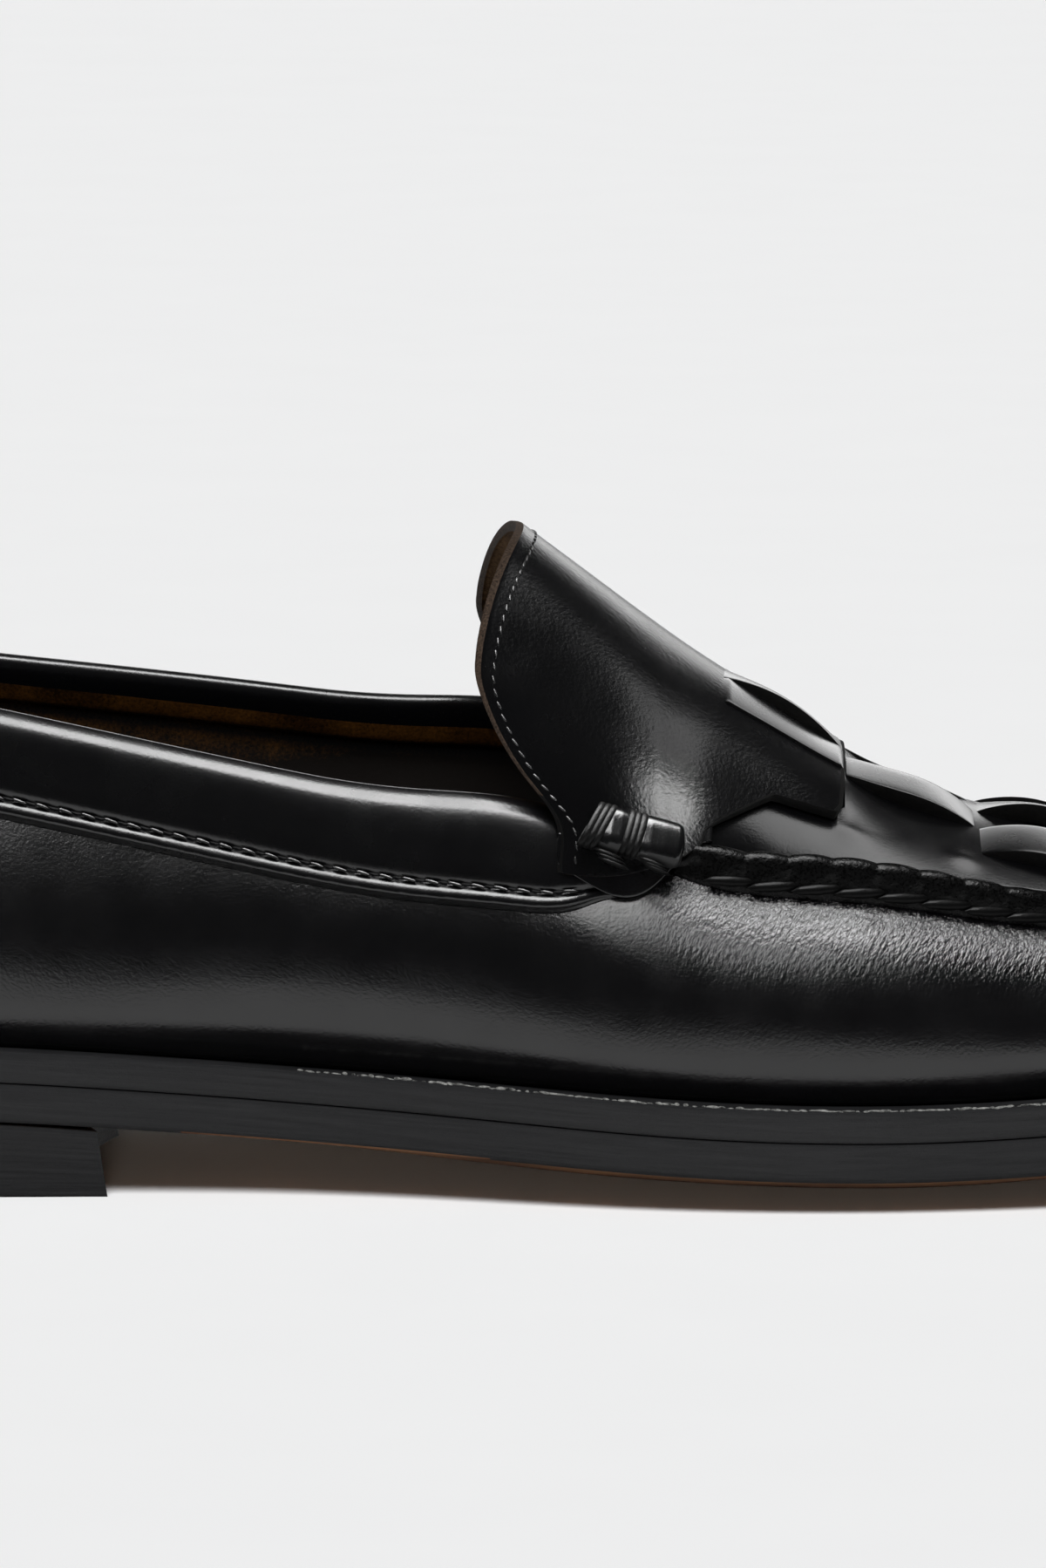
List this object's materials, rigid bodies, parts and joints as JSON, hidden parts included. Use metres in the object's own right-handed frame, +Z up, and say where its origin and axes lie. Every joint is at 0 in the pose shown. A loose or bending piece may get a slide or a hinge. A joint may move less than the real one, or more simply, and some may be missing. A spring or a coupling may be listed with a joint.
{
  "type": "woven loafer",
  "caption": "Slip-on leather loafer for the right foot: hollow upper with woven apron, raised seam, standing tongue, bound collar, wound side rolls, layered leather sole and low heel.",
  "frame": {"origin": "on the floor, under the centre of the box around the shoe", "axes": "+X from heel to toe, +Y to the inner (medial) side, +Z up"},
  "size_m": [0.297, 0.1004, 0.1096],
  "materials": {
    "upper_leather": "smooth black calf, polished",
    "sole_leather": "black inked leather edge, satin",
    "lining_leather": "brown suede lining, matt"
  },
  "bodies": {
    "root": {"upper": "upper_leather", "tongue": "upper_leather", "collar_band": "upper_leather", "roll_lateral": "upper_leather", "roll_medial": "upper_leather", "midsole": "sole_leather", "outsole": "sole_leather", "heel": "sole_leather", "insole": "lining_leather"}
  },
  "joints": []
}
